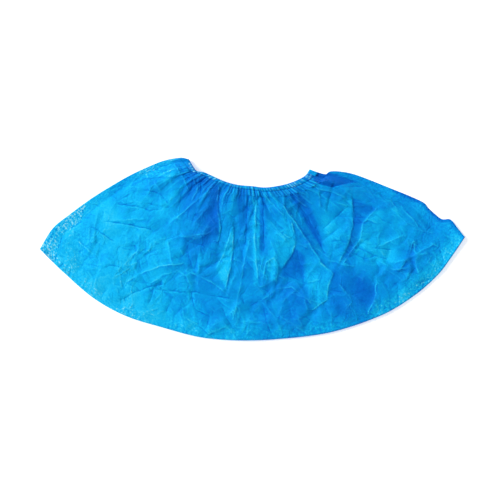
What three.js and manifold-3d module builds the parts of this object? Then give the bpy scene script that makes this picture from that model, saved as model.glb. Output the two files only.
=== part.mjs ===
// A disposable shoe cover of thin blue nonwoven cloth, lying flat as it comes out of the bag.
//
// One oblong sheet is folded once along the sole. Its two short ends are welded, which makes the
// toe seam and the heel seam, and its two long edges are turned in round a strand of elastic. When
// the elastic draws the long edges together, the ends swing up and the sole fold bows into a
// crescent. So the cover is one sheet, two elastic strands, and a flat pocket with a gathered mouth.
//
// The sheet is made as its two leaves. The upper leaf has the welded rim and the sole fold, and the
// lower leaf is the floor inside them, with a hairline gap where the real cloth runs on.
//
// Millimetres. +X runs from the toe end to the heel end, +Y from the sole fold to the mouth, and +Z
// is up. The origin is on the ground, under the middle of the cover.
//
// Every piece is worked out on the sheet's own two directions. u goes from the toe seam (0) to the
// heel seam (1), and v from the sole fold (0) to the mouth (1). Lines of constant u fan out from the
// short gathered mouth to the long sole fold, as the gathers do.
import * as THREE from "three";
import { mergeVertices } from "three/addons/utils/BufferGeometryUtils.js";
import Module from "manifold-3d";

// Cloth and elastic
const WALL = 1.2; // the cloth, thickened to a wall that can be printed
const ELASTIC_THICKNESS = 0.8;
const ELASTIC_CLEARANCE = 0.3; // above and below the strand in its hem
const CHANNEL = ELASTIC_THICKNESS + 2 * ELASTIC_CLEARANCE;
const HEM_THICKNESS = WALL + CHANNEL + WALL; // outer wall, strand's channel, turned-in flap

// Where things lie along v, as distances from the mouth over the length of a fan line
const FAN_LENGTH = 155;
const HEM_DEPTH = 7.5; // how far the edge is turned in
const HEM_EDGE = 1.3; // cloth between the channel and the mouth
const ELASTIC_FROM = 6.6; // the strand's lower edge
const ELASTIC_TO = 2.4; // and its upper one
const HEM_CREST = 2.5; // where the hem starts to roll over
const FLAP_OVERRUN = 0.8; // the cuts for hem and channel start a little before the flap's raw edge
const MOUTH_OVERRUN = 3; // and run on past the mouth
const SOLE_WALL = 2.2; // cloth outside the pocket at the sole fold

// The welded ends, as shares of u
const SEAM_ALLOWANCE = 0.03;
const FLANGE_END = 0.003; // the flange ends in a step up to the leaf, from here outside the weld
const LEAF_START = 0.001; // to here inside it
const RIM = 0.01; // share of the pocket's width that the rim's wall takes at each weld
const MOUTH_CLOSED = 0.05; // share of the pocket's width where the two hems meet
const ELASTIC_END_GAP = 0.012;

// The hairline gap between the two leaves, in millimetres and as a share of u
const LEAF_GAP = 0.3;
const LEAF_GAP_U = 0.0025;

// Heights
const BEYOND = 30; // well above or below the whole cover, for cuts that go right through
const FLANGE_THICKNESS = 1.4; // both leaves welded together
const POCKET_EDGE = 2.5; // both leaves just inside the weld
const MOUTH_ROUND = 0.7; // how far the hem rolls down at its very edge
const CORNER_LIFT = 3.0; // the bunched corners of the mouth stand off the ground
const RIB_HEIGHT = 1.1; // the gathers on the outside of each leaf
const LOWEST_RIB = 0.65; // of RIB_HEIGHT
const RIB_CYCLE = 2.4; // radians from one column to the next, so that no two neighbours are alike

// Where these heights fade, as v, or as a share of the width where the name says so
const LONGEST_RIB = 0.7; // the longest gather starts here
const SHORTEST_RIB = 0.84; // and the shortest one here
const RIB_FULL = 0.94;
const LOWER_RISE = { from: 0.7, to: 0.95 }; // the lower leaf stands on its own gathers
const CORNER_RISE = { from: 0.6, to: 1 };
const CORNER_SHARE = 0.16; // of the whole width, for each corner of the mouth
const FOLDS_BEGIN = { from: 0.02, to: 0.1 };
const FOLDS_END = { from: 0.86, to: 0.94 };
const FOLDS_SHARE = 0.08; // of the pocket's width, where the folds die out towards each weld

// Grid: one rib of the gathers for every two columns
const COLUMNS = 66;
const CLOSEST_COLUMN = 0.3; // of a column's width, from the end of a piece or a cut
const ROWS = [0, 0.012, 0.04, 0.12, 0.22, 0.33, 0.44, 0.55, 0.66, 0.76, 0.85, 0.91];

// The outline, as points that smooth curves run through
const SOLE_FOLD = [
  { x: -199.5, y: 0.3 },
  { x: -180.2, y: -18.8 },
  { x: -150.1, y: -45.2 },
  { x: -120.0, y: -62.1 },
  { x: -86.1, y: -72.9 },
  { x: -48.5, y: -82.6 },
  { x: -10.8, y: -85.6 },
  { x: 30.6, y: -83.8 },
  { x: 75.8, y: -77.4 },
  { x: 120.9, y: -62.1 },
  { x: 151.1, y: -44.2 },
  { x: 173.7, y: -24.5 },
  { x: 188.7, y: -4.4 },
  { x: 199.3, y: 11.6 },
];
const TOE_SEAM = [
  { x: -199.5, y: 0.3 },
  { x: -187.8, y: 19.3 },
  { x: -172.7, y: 32.0 },
  { x: -150.1, y: 48.5 },
  { x: -120.0, y: 66.8 },
  { x: -97.4, y: 77.6 },
  { x: -82.4, y: 83.3 },
  { x: -67.3, y: 85.8 },
  { x: -59.8, y: 84.2 },
];
const HEEL_SEAM = [
  { x: 199.3, y: 11.6 },
  { x: 192.5, y: 20.2 },
  { x: 185.9, y: 28.0 },
  { x: 177.4, y: 28.6 },
  { x: 166.1, y: 38.1 },
  { x: 158.6, y: 45.2 },
  { x: 128.5, y: 57.9 },
  { x: 98.4, y: 69.6 },
  { x: 83.3, y: 72.9 },
  { x: 73.0, y: 73.0 },
  { x: 69.2, y: 70.4 },
  { x: 60.7, y: 72.3 },
  { x: 54.1, y: 74.8 },
];
const MOUTH = [
  { x: -59.8, y: 84.2 },
  { x: -52.6, y: 73.4 },
  { x: -44.7, y: 71.4 },
  { x: -27.8, y: 63.7 },
  { x: -14.6, y: 59.9 },
  { x: 0.5, y: 58.4 },
  { x: 13.6, y: 57.3 },
  { x: 32.5, y: 60.7 },
  { x: 48.2, y: 67.6 },
  { x: 54.1, y: 74.8 },
];

// How thick the lying cover is along the middle fan line: round at the sole, fullest by the mouth
const FULLNESS = [
  { v: 0.0, height: 1.6 },
  { v: 0.012, height: 3.6 },
  { v: 0.04, height: 5.6 },
  { v: 0.12, height: 8.4 },
  { v: 0.3, height: 11.4 },
  { v: 0.6, height: 13.8 },
  { v: 0.88, height: 15.2 },
  { v: 1.0, height: 15.0 },
];

// The sole fold's round underside
const SOLE_ROUND = [
  { v: 0.0, height: 0.8 },
  { v: 0.012, height: 0.15 },
  { v: 0.04, height: 0.0 },
];

// The main folds of the upper leaf, each a straight ridge (rise above 0) or dent (below 0)
const FOLDS = [
  { from: [12, 53], to: [46, 15], rise: 2.0, halfWidth: 7 }, // long fold towards the heel
  { from: [46, 15], to: [74, -25], rise: 1.8, halfWidth: 7 },
  { from: [30, 50], to: [63, 6], rise: -1.4, halfWidth: 8 },
  { from: [-14, 54], to: [-18, 14], rise: 1.8, halfWidth: 6 }, // middle folds
  { from: [-18, 14], to: [-31, -15], rise: 1.5, halfWidth: 6 },
  { from: [-8, 54], to: [-16, -10], rise: -1.2, halfWidth: 6 },
  { from: [0, 54], to: [2, -1], rise: 1.6, halfWidth: 6 },
  { from: [2, -1], to: [6, -31], rise: 1.2, halfWidth: 6 },
  { from: [-43, 54], to: [-63, 33], rise: 1.8, halfWidth: 7 }, // fold towards the toe
  { from: [-63, 33], to: [-86, 11], rise: 1.6, halfWidth: 7 },
  { from: [-35, 48], to: [-58, -15], rise: -1.4, halfWidth: 9 },
  { from: [-119, -29], to: [-68, -14], rise: 1.3, halfWidth: 8 }, // flat folds by the toe
  { from: [-126, -47], to: [-62, -38], rise: 1.3, halfWidth: 8 },
  { from: [-139, 26], to: [-95, 18], rise: 1.2, halfWidth: 8 },
  { from: [-126, 43], to: [-86, 37], rise: 1.1, halfWidth: 8 },
  { from: [-55, -12], to: [-25, -40], rise: 1.2, halfWidth: 7 },
  { from: [91, 44], to: [81, -12], rise: 1.4, halfWidth: 8 }, // folds by the heel
  { from: [116, 39], to: [85, -8], rise: 1.2, halfWidth: 8 },
  { from: [150, 6], to: [126, -21], rise: 1.2, halfWidth: 8 },
];

const wasm = await Module();
wasm.setup();

// A smooth curve through the table's points, read by its share of the curve's length.
function curveThrough(points) {
  return new THREE.SplineCurve(points.map(({ x, y }) => new THREE.Vector2(x, y)));
}

const soleFold = curveThrough(SOLE_FOLD);
const toeSeam = curveThrough(TOE_SEAM);
const heelSeam = curveThrough(HEEL_SEAM);
const mouth = curveThrough(MOUTH);

// A share that eases from 0 at a to 1 at b.
function ease(a, b, t) {
  return THREE.MathUtils.smoothstep(t, a, b);
}

// The table's height at v, on straight lines between its rows.
function heightAt(table, v) {
  const next = table.findIndex((row) => row.v >= v);
  if (next < 0) return table[table.length - 1].height;
  if (next === 0) return table[0].height;
  const [a, b] = [table[next - 1], table[next]];
  return THREE.MathUtils.lerp(a.height, b.height, (v - a.v) / (b.v - a.v));
}

// The plan position of (u, v): a patch blended between the four edges of the folded sheet.
function planInside(u, v) {
  const p = new THREE.Vector2();
  p.addScaledVector(soleFold.getPointAt(u), 1 - v);
  p.addScaledVector(mouth.getPointAt(u), v);
  p.addScaledVector(toeSeam.getPointAt(v), 1 - u);
  p.addScaledVector(heelSeam.getPointAt(v), u);
  p.addScaledVector(soleFold.getPointAt(0), -(1 - u) * (1 - v));
  p.addScaledVector(soleFold.getPointAt(1), -u * (1 - v));
  p.addScaledVector(mouth.getPointAt(0), -(1 - u) * v);
  p.addScaledVector(mouth.getPointAt(1), -u * v);
  return p;
}

// The same, carried straight on past the mouth for v above 1.
function plan(u, v) {
  if (v <= 1) return planInside(u, v);
  const nearEdge = 0.97;
  const edge = planInside(u, 1);
  const out = edge.clone().sub(planInside(u, nearEdge));
  return edge.addScaledVector(out, (v - 1) / (1 - nearEdge));
}

// Share of the pocket's width at u: 0 on the toe weld, 1 on the heel weld.
function acrossPocket(u) {
  return (u - SEAM_ALLOWANCE) / (1 - 2 * SEAM_ALLOWANCE);
}

// The pocket's u at a share of its width.
function pocketU(share) {
  return SEAM_ALLOWANCE + share * (1 - 2 * SEAM_ALLOWANCE);
}

// Height of the sheet's thickness at (u, v): a flat flange outside the weld, and inside it a low
// dome whose section across the pocket is a superellipse.
function thickness(u, v) {
  const full = heightAt(FULLNESS, v);
  const across = acrossPocket(u);
  if (across < 0 || across > 1) return Math.min(FLANGE_THICKNESS, full);
  const dome = Math.sqrt(1 - Math.abs(2 * across - 1) ** 3);
  const edge = Math.min(POCKET_EDGE, full);
  return edge + (full - edge) * dome;
}

// What a fold adds at a plan point: a tent across the fold that fades at its ends.
function foldRise(fold, p) {
  const from = new THREE.Vector2(...fold.from);
  const along = new THREE.Vector2(...fold.to).sub(from);
  const t = p.clone().sub(from).dot(along) / along.lengthSq();
  const nearest = from.addScaledVector(along, THREE.MathUtils.clamp(t, 0, 1));
  return fold.rise * Math.max(0, 1 - p.distanceTo(nearest) / fold.halfWidth);
}

// All folds together. They die out towards the welds, the sole fold and the hem.
function folds(u, v) {
  const p = plan(u, v);
  const sum = FOLDS.reduce((total, fold) => total + foldRise(fold, p), 0);
  const across = acrossPocket(u);
  const inset = ease(0, FOLDS_SHARE, across) * ease(0, FOLDS_SHARE, 1 - across);
  const shown = ease(FOLDS_BEGIN.from, FOLDS_BEGIN.to, v) * (1 - ease(FOLDS_END.from, FOLDS_END.to, v));
  return sum * inset * shown;
}

// The lower leaf's smooth level: on the ground, round at the sole fold, lifted a little by its own
// gathers under the mouth, and lifted more where the mouth's corners bunch.
function groundLevel(u, v) {
  const gathers = RIB_HEIGHT * ease(LOWER_RISE.from, LOWER_RISE.to, v);
  const nearSeam = 1 - ease(0, CORNER_SHARE, Math.min(u, 1 - u));
  const corner = CORNER_LIFT * nearSeam * ease(CORNER_RISE.from, CORNER_RISE.to, v);
  return heightAt(SOLE_ROUND, v) + gathers + corner;
}

// The upper leaf's smooth level.
function topLevel(u, v) {
  return groundLevel(u, v) + thickness(u, v) + folds(u, v);
}

// A gather stands out on every second column, and each runs its own way down from the hem.
function rib(u, v) {
  const column = Math.round(u * COLUMNS);
  if (column % 2 === 0) return 0;
  const uneven = 0.5 + 0.5 * Math.sin(RIB_CYCLE * column);
  const height = THREE.MathUtils.lerp(LOWEST_RIB, 1, uneven) * RIB_HEIGHT;
  const start = THREE.MathUtils.lerp(LONGEST_RIB, SHORTEST_RIB, uneven);
  return height * ease(start, RIB_FULL, v);
}

// A closed solid between two levels over a grid of u and v values. level(u, v) gives the height.
// The rows of points run along u, the low face first.
function slab(us, vs, low, high) {
  const [n, m] = [us.length, vs.length];
  const spots = [];
  for (const level of [low, high]) {
    vs.forEach((v) => {
      us.forEach((u) => {
        const p = plan(u, v);
        spots.push(p.x, p.y, level(u, v));
      });
    });
  }
  const at = (side, row, column) => side * n * m + row * n + column;
  const faces = [];
  const quad = (a, b, c, d) => faces.push(a, b, c, a, c, d);
  for (let r = 0; r + 1 < m; r++) {
    for (let c = 0; c + 1 < n; c++) {
      quad(at(0, r, c), at(0, r + 1, c), at(0, r + 1, c + 1), at(0, r, c + 1));
      quad(at(1, r, c), at(1, r, c + 1), at(1, r + 1, c + 1), at(1, r + 1, c));
    }
  }
  for (let c = 0; c + 1 < n; c++) {
    quad(at(0, 0, c), at(0, 0, c + 1), at(1, 0, c + 1), at(1, 0, c));
    quad(at(0, m - 1, c + 1), at(0, m - 1, c), at(1, m - 1, c), at(1, m - 1, c + 1));
  }
  for (let r = 0; r + 1 < m; r++) {
    quad(at(0, r + 1, 0), at(0, r, 0), at(1, r, 0), at(1, r + 1, 0));
    quad(at(0, r, n - 1), at(0, r + 1, n - 1), at(1, r + 1, n - 1), at(1, r, n - 1));
  }
  const geometry = new THREE.BufferGeometry();
  geometry.setAttribute("position", new THREE.Float32BufferAttribute(spots, 3));
  geometry.setIndex(faces);
  return geometry;
}

// A closed geometry as a solid that can be cut.
function solidOf(geometry) {
  const sameSpot = 1e-4;
  const merged = mergeVertices(geometry, sameSpot);
  return new wasm.Manifold(
    new wasm.Mesh({
      numProp: 3,
      vertProperties: new Float32Array(merged.attributes.position.array),
      triVerts: new Uint32Array(merged.index.array),
    }),
  );
}

// A cut solid as a geometry again.
function geometryOf(solid) {
  const { vertProperties, triVerts } = solid.getMesh();
  const geometry = new THREE.BufferGeometry();
  geometry.setAttribute("position", new THREE.Float32BufferAttribute(vertProperties, 3));
  geometry.setIndex(Array.from(triVerts));
  return geometry;
}

// The columns of the whole sheet that lie between two values of u, with the two values themselves.
function columnsBetween(from, to) {
  const inner = Array.from({ length: COLUMNS + 1 }, (_, i) => i / COLUMNS);
  const margin = CLOSEST_COLUMN / COLUMNS;
  return [from, ...inner.filter((u) => u > from + margin && u < to - margin), to];
}

// v at a distance below the mouth's edge.
function belowMouth(distance) {
  return 1 - distance / FAN_LENGTH;
}

// How far the hem's very edge rolls in towards the middle of the cover.
function roll(v) {
  return MOUTH_ROUND * ease(belowMouth(HEM_CREST), 1, v);
}

// The outer faces of the two leaves, with their gathers.
const underside = (u, v) => groundLevel(u, v) - rib(u, v) + roll(v);
const topside = (u, v) => topLevel(u, v) + rib(u, v) - roll(v);

// A leaf's wall where it would be full thick. By the welds the two leaves share what there is.
function wallWithin(full, u, v) {
  return Math.min(full, (thickness(u, v) - LEAF_GAP) / 2);
}

// The rows of a leaf from v = first up to the mouth.
function rowsFrom(first) {
  const clear = 0.01;
  return [first, ...ROWS.filter((v) => v > first + clear), belowMouth(HEM_DEPTH), belowMouth(HEM_CREST), 1];
}

// The rows of the pocket, which ends at the turned-in flap.
function pocketRows(first) {
  return rowsFrom(first).slice(0, -2);
}

const HEM_ROWS = [belowMouth(HEM_DEPTH + FLAP_OVERRUN), belowMouth(HEM_CREST), 1, belowMouth(-MOUTH_OVERRUN)];

// The space in a hem that its elastic lies in, open to the pocket under the flap's raw edge.
function elasticChannel(floorOf) {
  const us = columnsBetween(pocketU(MOUTH_CLOSED), pocketU(1 - MOUTH_CLOSED));
  const vs = [belowMouth(HEM_DEPTH + FLAP_OVERRUN), belowMouth(HEM_EDGE)];
  return solidOf(slab(us, vs, floorOf, (u, v) => floorOf(u, v) + CHANNEL));
}

const lowerChannelFloor = (u, v) => groundLevel(u, v) + WALL;
const upperChannelFloor = (u, v) => topLevel(u, v) - WALL - CHANNEL;

// The upper leaf, with the flanges and the sole fold: the whole lying cover, cut out from below.
function upperLeaf() {
  const us = Array.from({ length: COLUMNS + 1 }, (_, i) => i / COLUMNS);
  us[2] = SEAM_ALLOWANCE - FLANGE_END;
  us[3] = SEAM_ALLOWANCE + LEAF_START;
  us[COLUMNS - 3] = 1 - us[3];
  us[COLUMNS - 2] = 1 - us[2];
  const whole = solidOf(slab(us, rowsFrom(0), underside, topside));
  const inside = columnsBetween(pocketU(RIM), pocketU(1 - RIM));
  const below = () => -BEYOND;
  const cloth = (u, v) => topLevel(u, v) - wallWithin(WALL, u, v);
  const hem = (u, v) => topLevel(u, v) - wallWithin(HEM_THICKNESS, u, v);
  const cuts = [
    solidOf(slab(inside, pocketRows(SOLE_WALL / FAN_LENGTH), below, cloth)),
    solidOf(slab(inside, HEM_ROWS, below, hem)),
    elasticChannel(upperChannelFloor),
  ];
  return geometryOf(cuts.reduce((solid, cut) => solid.subtract(cut), whole));
}

// The lower leaf: the floor inside the rim, doubled by its turned-in hem at the mouth.
function lowerLeaf() {
  const us = columnsBetween(pocketU(RIM) + LEAF_GAP_U, pocketU(1 - RIM) - LEAF_GAP_U);
  const first = (SOLE_WALL + LEAF_GAP) / FAN_LENGTH;
  const hem = (u, v) => groundLevel(u, v) + wallWithin(HEM_THICKNESS, u, v);
  const cloth = (u, v) => groundLevel(u, v) + wallWithin(WALL, u, v);
  const whole = solidOf(slab(us, rowsFrom(first), underside, hem));
  const wider = columnsBetween(pocketU(0), pocketU(1));
  const cuts = [
    solidOf(slab(wider, pocketRows(0), cloth, () => BEYOND)),
    elasticChannel(lowerChannelFloor),
  ];
  return geometryOf(cuts.reduce((solid, cut) => solid.subtract(cut), whole));
}

// One strand of elastic in its channel, ending just short of the welds that hold it.
function elasticStrand(floorOf) {
  const end = MOUTH_CLOSED + ELASTIC_END_GAP;
  const us = columnsBetween(pocketU(end), pocketU(1 - end));
  const vs = [belowMouth(ELASTIC_FROM), belowMouth(ELASTIC_TO)];
  const low = (u, v) => floorOf(u, v) + ELASTIC_CLEARANCE;
  const high = (u, v) => low(u, v) + ELASTIC_THICKNESS;
  return slab(us, vs, low, high);
}

const BLUE_NONWOVEN = { color: 0x0f9be6, roughness: 0.6, metalness: 0 };
const WHITE_ELASTIC = { color: 0xe9eef2, roughness: 0.7, metalness: 0 };

function named(name, geometry, look) {
  const mesh = new THREE.Mesh(geometry, new THREE.MeshStandardMaterial(look));
  mesh.name = name;
  return mesh;
}

const shoeCover = new THREE.Group();
shoeCover.name = "shoe_cover";
shoeCover.add(
  named("upper_leaf", upperLeaf(), BLUE_NONWOVEN),
  named("lower_leaf", lowerLeaf(), BLUE_NONWOVEN),
  named("elastic_upper", elasticStrand(upperChannelFloor), WHITE_ELASTIC),
  named("elastic_lower", elasticStrand(lowerChannelFloor), WHITE_ELASTIC),
);

export default shoeCover;
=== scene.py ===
# %% [markdown]
# # A disposable shoe cover, lying flat
#
# The real cover is one oblong sheet of thin spunbond cloth, folded along the sole and welded at its two
# short ends. Each long edge is turned in round a strand of elastic, a third as long as the cloth, so the
# mouth gathers, the ends swing up, and the whole cover bows into a crescent.
#
# So the lesson is about one surface. Every piece is worked out on the sheet's own two directions:
# u runs from the toe weld (0) to the heel weld (1), and v from the sole fold (0) to the mouth (1).

import bpy
import numpy as np
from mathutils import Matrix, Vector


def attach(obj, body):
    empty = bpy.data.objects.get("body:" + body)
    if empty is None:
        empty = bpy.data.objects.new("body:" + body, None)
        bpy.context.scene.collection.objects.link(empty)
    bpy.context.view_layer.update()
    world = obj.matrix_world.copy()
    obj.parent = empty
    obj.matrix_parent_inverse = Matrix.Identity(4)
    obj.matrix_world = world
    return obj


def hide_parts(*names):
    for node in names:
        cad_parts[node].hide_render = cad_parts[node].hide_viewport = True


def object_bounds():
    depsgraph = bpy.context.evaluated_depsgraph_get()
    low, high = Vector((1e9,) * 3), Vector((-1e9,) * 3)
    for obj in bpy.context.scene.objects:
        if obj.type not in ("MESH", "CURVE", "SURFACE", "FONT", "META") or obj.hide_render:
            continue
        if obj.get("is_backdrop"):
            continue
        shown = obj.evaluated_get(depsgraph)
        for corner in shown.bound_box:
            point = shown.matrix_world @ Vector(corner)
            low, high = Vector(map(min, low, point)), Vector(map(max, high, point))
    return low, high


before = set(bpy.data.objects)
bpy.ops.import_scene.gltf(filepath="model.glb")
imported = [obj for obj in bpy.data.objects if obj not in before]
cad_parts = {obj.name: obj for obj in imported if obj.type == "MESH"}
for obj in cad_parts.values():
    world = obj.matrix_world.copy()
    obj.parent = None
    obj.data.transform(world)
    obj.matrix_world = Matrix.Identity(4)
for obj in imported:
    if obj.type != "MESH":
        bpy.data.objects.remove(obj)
CAD_LOW, CAD_HIGH = (np.array(corner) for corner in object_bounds())
MM = 0.001
print("CAD box in mm:", np.round((CAD_HIGH - CAD_LOW) / MM, 1))

# %% [markdown]
# ## The outline
#
# The lying cover has four edges: the sole fold, the mouth, and the two welds. Each could be a Bezier
# curve, but the surface needs places at any share of an edge, so each is a smooth curve through a few
# places, read by arc length. These are the same places as in the part's source.

# %% The four edges
# Places on each edge as (x, y) in millimetres, from toe to heel or from sole to mouth
SOLE_FOLD = MM * np.array([
    (-199.5, 0.3), (-180.2, -18.8), (-150.1, -45.2), (-120.0, -62.1), (-86.1, -72.9),
    (-48.5, -82.6), (-10.8, -85.6), (30.6, -83.8), (75.8, -77.4), (120.9, -62.1),
    (151.1, -44.2), (173.7, -24.5), (188.7, -4.4), (199.3, 11.6),
])
TOE_WELD = MM * np.array([
    (-199.5, 0.3), (-187.8, 19.3), (-172.7, 32.0), (-150.1, 48.5), (-120.0, 66.8),
    (-97.4, 77.6), (-82.4, 83.3), (-67.3, 85.8), (-59.8, 84.2),
])
HEEL_WELD = MM * np.array([
    (199.3, 11.6), (192.5, 20.2), (185.9, 28.0), (177.4, 28.6), (166.1, 38.1),
    (158.6, 45.2), (128.5, 57.9), (98.4, 69.6), (83.3, 72.9), (73.0, 73.0),
    (69.2, 70.4), (60.7, 72.3), (54.1, 74.8),
])
MOUTH = MM * np.array([
    (-59.8, 84.2), (-52.6, 73.4), (-44.7, 71.4), (-27.8, 63.7), (-14.6, 59.9),
    (0.5, 58.4), (13.6, 57.3), (32.5, 60.7), (48.2, 67.6), (54.1, 74.8),
])


def curve_through(points, steps=60):
    """A Catmull-Rom curve through the points: in each span, a cubic that leaves and arrives along
    the line between the neighbouring points. Returns (shares of its length, places, length)."""
    ends = np.vstack([points[:1], points, points[-1:]])
    before, start, end, after = (ends[k : len(ends) - 3 + k, None] for k in range(4))
    share = np.linspace(0, 1, steps, endpoint=False)[None, :, None]
    squared = 2 * before - 5 * start + 4 * end - after
    cubed = 3 * start - before - 3 * end + after
    twice = 2 * start + (end - before) * share + squared * share**2 + cubed * share**3
    places = np.vstack([twice.reshape(-1, 2) / 2, points[-1:]])
    run = np.concatenate([[0], np.cumsum(np.linalg.norm(np.diff(places, axis=0), axis=1))])
    return run / run[-1], places, run[-1]


def along(curve, share):
    """The curve's places at shares of its length."""
    shares, places, _ = curve
    return np.stack([np.interp(share, shares, places[:, k]) for k in (0, 1)], axis=-1)


EDGES = (SOLE_FOLD, TOE_WELD, HEEL_WELD, MOUTH)
sole_fold, toe_weld, heel_weld, mouth = (curve_through(edge) for edge in EDGES)
for name, edge in (("sole", sole_fold), ("toe", toe_weld), ("heel", heel_weld), ("mouth", mouth)):
    print(f"{name} edge: {edge[2] / MM:.0f} mm")

# %% [markdown]
# ## The plan of the sheet
#
# A patch between four curves could be lofted. A Coons patch does it in one formula: blend the sole with
# the mouth, blend the toe with the heel, add the two, and take away the blend of the four corners, which
# was counted twice. Lines of constant u then fan out from the short mouth to the long sole, just as the
# real gathers do.

# %% The plan
def plan(u, v):
    """Places on the ground of the sheet's points (u, v): a Coons patch between the four edges."""
    across = along(sole_fold, u) * (1 - v)[..., None] + along(mouth, u) * v[..., None]
    down = along(toe_weld, v) * (1 - u)[..., None] + along(heel_weld, v) * u[..., None]
    sole = SOLE_FOLD[0] * (1 - u)[..., None] + SOLE_FOLD[-1] * u[..., None]
    top = MOUTH[0] * (1 - u)[..., None] + MOUTH[-1] * u[..., None]
    return across + down - sole * (1 - v)[..., None] - top * v[..., None]


def ease(start, end, value):
    """0 up to start, 1 from end on, and a smooth S between. The start may also be the greater one."""
    share = np.clip((value - start) / (end - start), 0, 1)
    return share * share * (3 - 2 * share)


print("the middle of the sheet lies at", np.round(plan(np.array(0.5), np.array(0.5)) / MM, 1), "mm")

# %% [markdown]
# ## The puff between the leaves
#
# The folded sheet is plump at the sole fold, fullest at the mouth, and flat at the welds. A subdivision
# cage could give that, but two curves are enough: a power of v along the fan lines, and a rounded arch
# across them.

# %% The smooth levels
FAN_LENGTH = 155 * MM  # from the sole fold to the mouth, along a fan line
WELD_WIDTH = 0.03  # share of u that each weld's flange takes
FULL_HEIGHT = 15 * MM
SOLE_POWER = 0.31  # of v: the lower it is, the rounder the sole fold
LEAF_GAP = 0.45 * MM  # under each leaf where it is pressed flat
SOLE_RADIUS = 1.1 * MM
CORNER_RISE = 3 * MM  # of the bunched ends of the mouth


def across_pocket(u):
    """0 on the toe weld, 1 on the heel weld, and less or more than that on the flanges."""
    return (u - WELD_WIDTH) / (1 - 2 * WELD_WIDTH)


def puff(u, v):
    """How far the leaves stand apart: a power of v, which rounds the sole fold, times an arch in u."""
    arch = np.sqrt(np.clip(1 - np.abs(2 * across_pocket(u) - 1) ** 3, 0, 1))
    return FULL_HEIGHT * np.clip(v, 0, 1) ** SOLE_POWER * arch


def ground_level(u, v):
    """The lower leaf's level: up a little at the sole fold, and at the bunched mouth."""
    sole = SOLE_RADIUS * (1 - ease(0, 0.02, v))
    near_weld = 1 - ease(0, 0.16, np.minimum(u, 1 - u))
    return sole + CORNER_RISE * near_weld * ease(0.6, 1, v) + LEAF_GAP


print("the leaves stand", round(float(puff(0.5, 1.0)) / MM, 1), "mm apart at the mouth")

# %% [markdown]
# ## Lines finer than the grid
#
# A crease in thin cloth is a line less than a millimetre wide, but the grid's points lie one or two
# millimetres apart, and a finer grid would be far too heavy. So each point keeps two numbers: the crest,
# how strongly the sharpest line nearby shows, and the offset, its distance to that line. An offset
# changes evenly from point to point, so a material can draw the line from it as thin as it likes.

# %% The sharper of two lines
LINE_REACH = 1.8 * MM  # how far from its line a crest fades
SHADE_SIDE = (0.8, -0.6)  # an offset is above 0 on this side, as the light comes from the other one


def sharper(one, other):
    """Of two creases' lines, the one with the stronger crest, point by point."""
    return np.where(np.abs(one[0]) >= np.abs(other[0]), one, other)


# %% [markdown]
# ## Gathers
#
# The elastic pulls 445 mm of hem into 130 mm, so two thirds of the cloth there stands up in ribs. Real
# ribs are not a neat wave: each has its own width, height and length, and further down they join into
# fewer, broader folds. A cloth simulation finds such ribs by itself but never the same ones as the
# photo, so they are built as a few rows of ribs, each with fewer ribs that reach further down.

# %% Gathers of a leaf
HEM_DEPTH = 6.2 * MM
HEM_LINE = 1 - HEM_DEPTH / FAN_LENGTH  # v where the hem's turned-in edge shows
SOLE_WIDTH = 445 * MM  # along the sole fold, and so the width that the sheet was cut to
MOUTH_WIDTH = 130 * MM
# Columns: ribs, v where they begin and where they are full, height, painted shade between the ribs, line,
# share that the hem holds
GATHERS = [
    (54, 0.82, 0.92, 1.1 * MM, 0.15, 0.9, 0.3),
    (25, 0.56, 0.87, 1.3 * MM, 0.15, 0.6, 0.85),
    (10, 0.15, 0.80, 2.2 * MM, 0.14, 0.0, 0.9),
]
# The lower leaf's stand up into the pocket, taller and longer, as nothing pulls them flat
LOWER_GATHERS = [
    (42, 0.5, 0.85, 3.8 * MM, 0.3, 0.0, 0.0),
    (40, 0.05, 0.35, 4.6 * MM, 0.2, 0.0, 0.0),
    (13, 0.04, 0.40, 4.0 * MM, 0.1, 0.0, 0.0),
]


def gathers(u, v, seed, rows):
    """All rows of ribs, as (height, painted light, lines). Each rib is a squared sine over its own width,
    with a width, height and reach down the leaf from seeded random numbers. The painted light is painted
    shade between two ribs and a painted highlight on a crest, where a line runs too."""
    rng = np.random.default_rng(seed)
    height = np.zeros(np.broadcast(u, v).shape)
    tint = np.zeros(height.shape)
    lines = np.zeros((2, *height.shape))
    width = SOLE_WIDTH + (MOUTH_WIDTH - SOLE_WIDTH) * v
    for count, begin, full, tallest, dark, line, held in rows:
        edges = np.cumsum(rng.uniform(0.45, 1.55, count + 1))
        edges = (edges - edges[0]) / (edges[count] - edges[0])
        place = np.interp(u, edges, np.arange(count + 1))
        rib = np.clip(place.astype(int), 0, count - 1)
        hump = np.sin(np.pi * (place - rib)) ** 2
        tall = rng.uniform(0.35, 1.0, count)[rib]
        begins = begin + (full - begin) * rng.uniform(-0.2, 0.75, count)[rib]
        shown = tall * ease(begins, full, v) * (1 - held * ease(HEM_LINE - 0.012, HEM_LINE + 0.004, v))
        height += tallest * hump * shown
        # painted shade in the valleys between ribs, painted highlight on their crests
        tint += dark * (1 - 0.7 * hump - 1.5 * hump**8) * shown
        offset = (place - rib - 0.5) * np.diff(edges)[rib] * width
        crest = line * shown * np.exp(-((offset / LINE_REACH) ** 2))
        lines = sharper(lines, np.stack([crest, offset]))
    return height, tint, lines


print("ribs on the upper leaf:", sum(row[0] for row in GATHERS))

# %% [markdown]
# ## Creases
#
# What shows most are the creases: long bent lines where the cloth was pressed, and edges where a pleat
# lies over. They could be sculpted, but here each is a row of a table: the places that it runs through,
# how far it rises or sinks, and how far it reaches to its left and right, when walking along it. A short
# reach on one side and a long one on the other makes the edge of a pleat.

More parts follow.
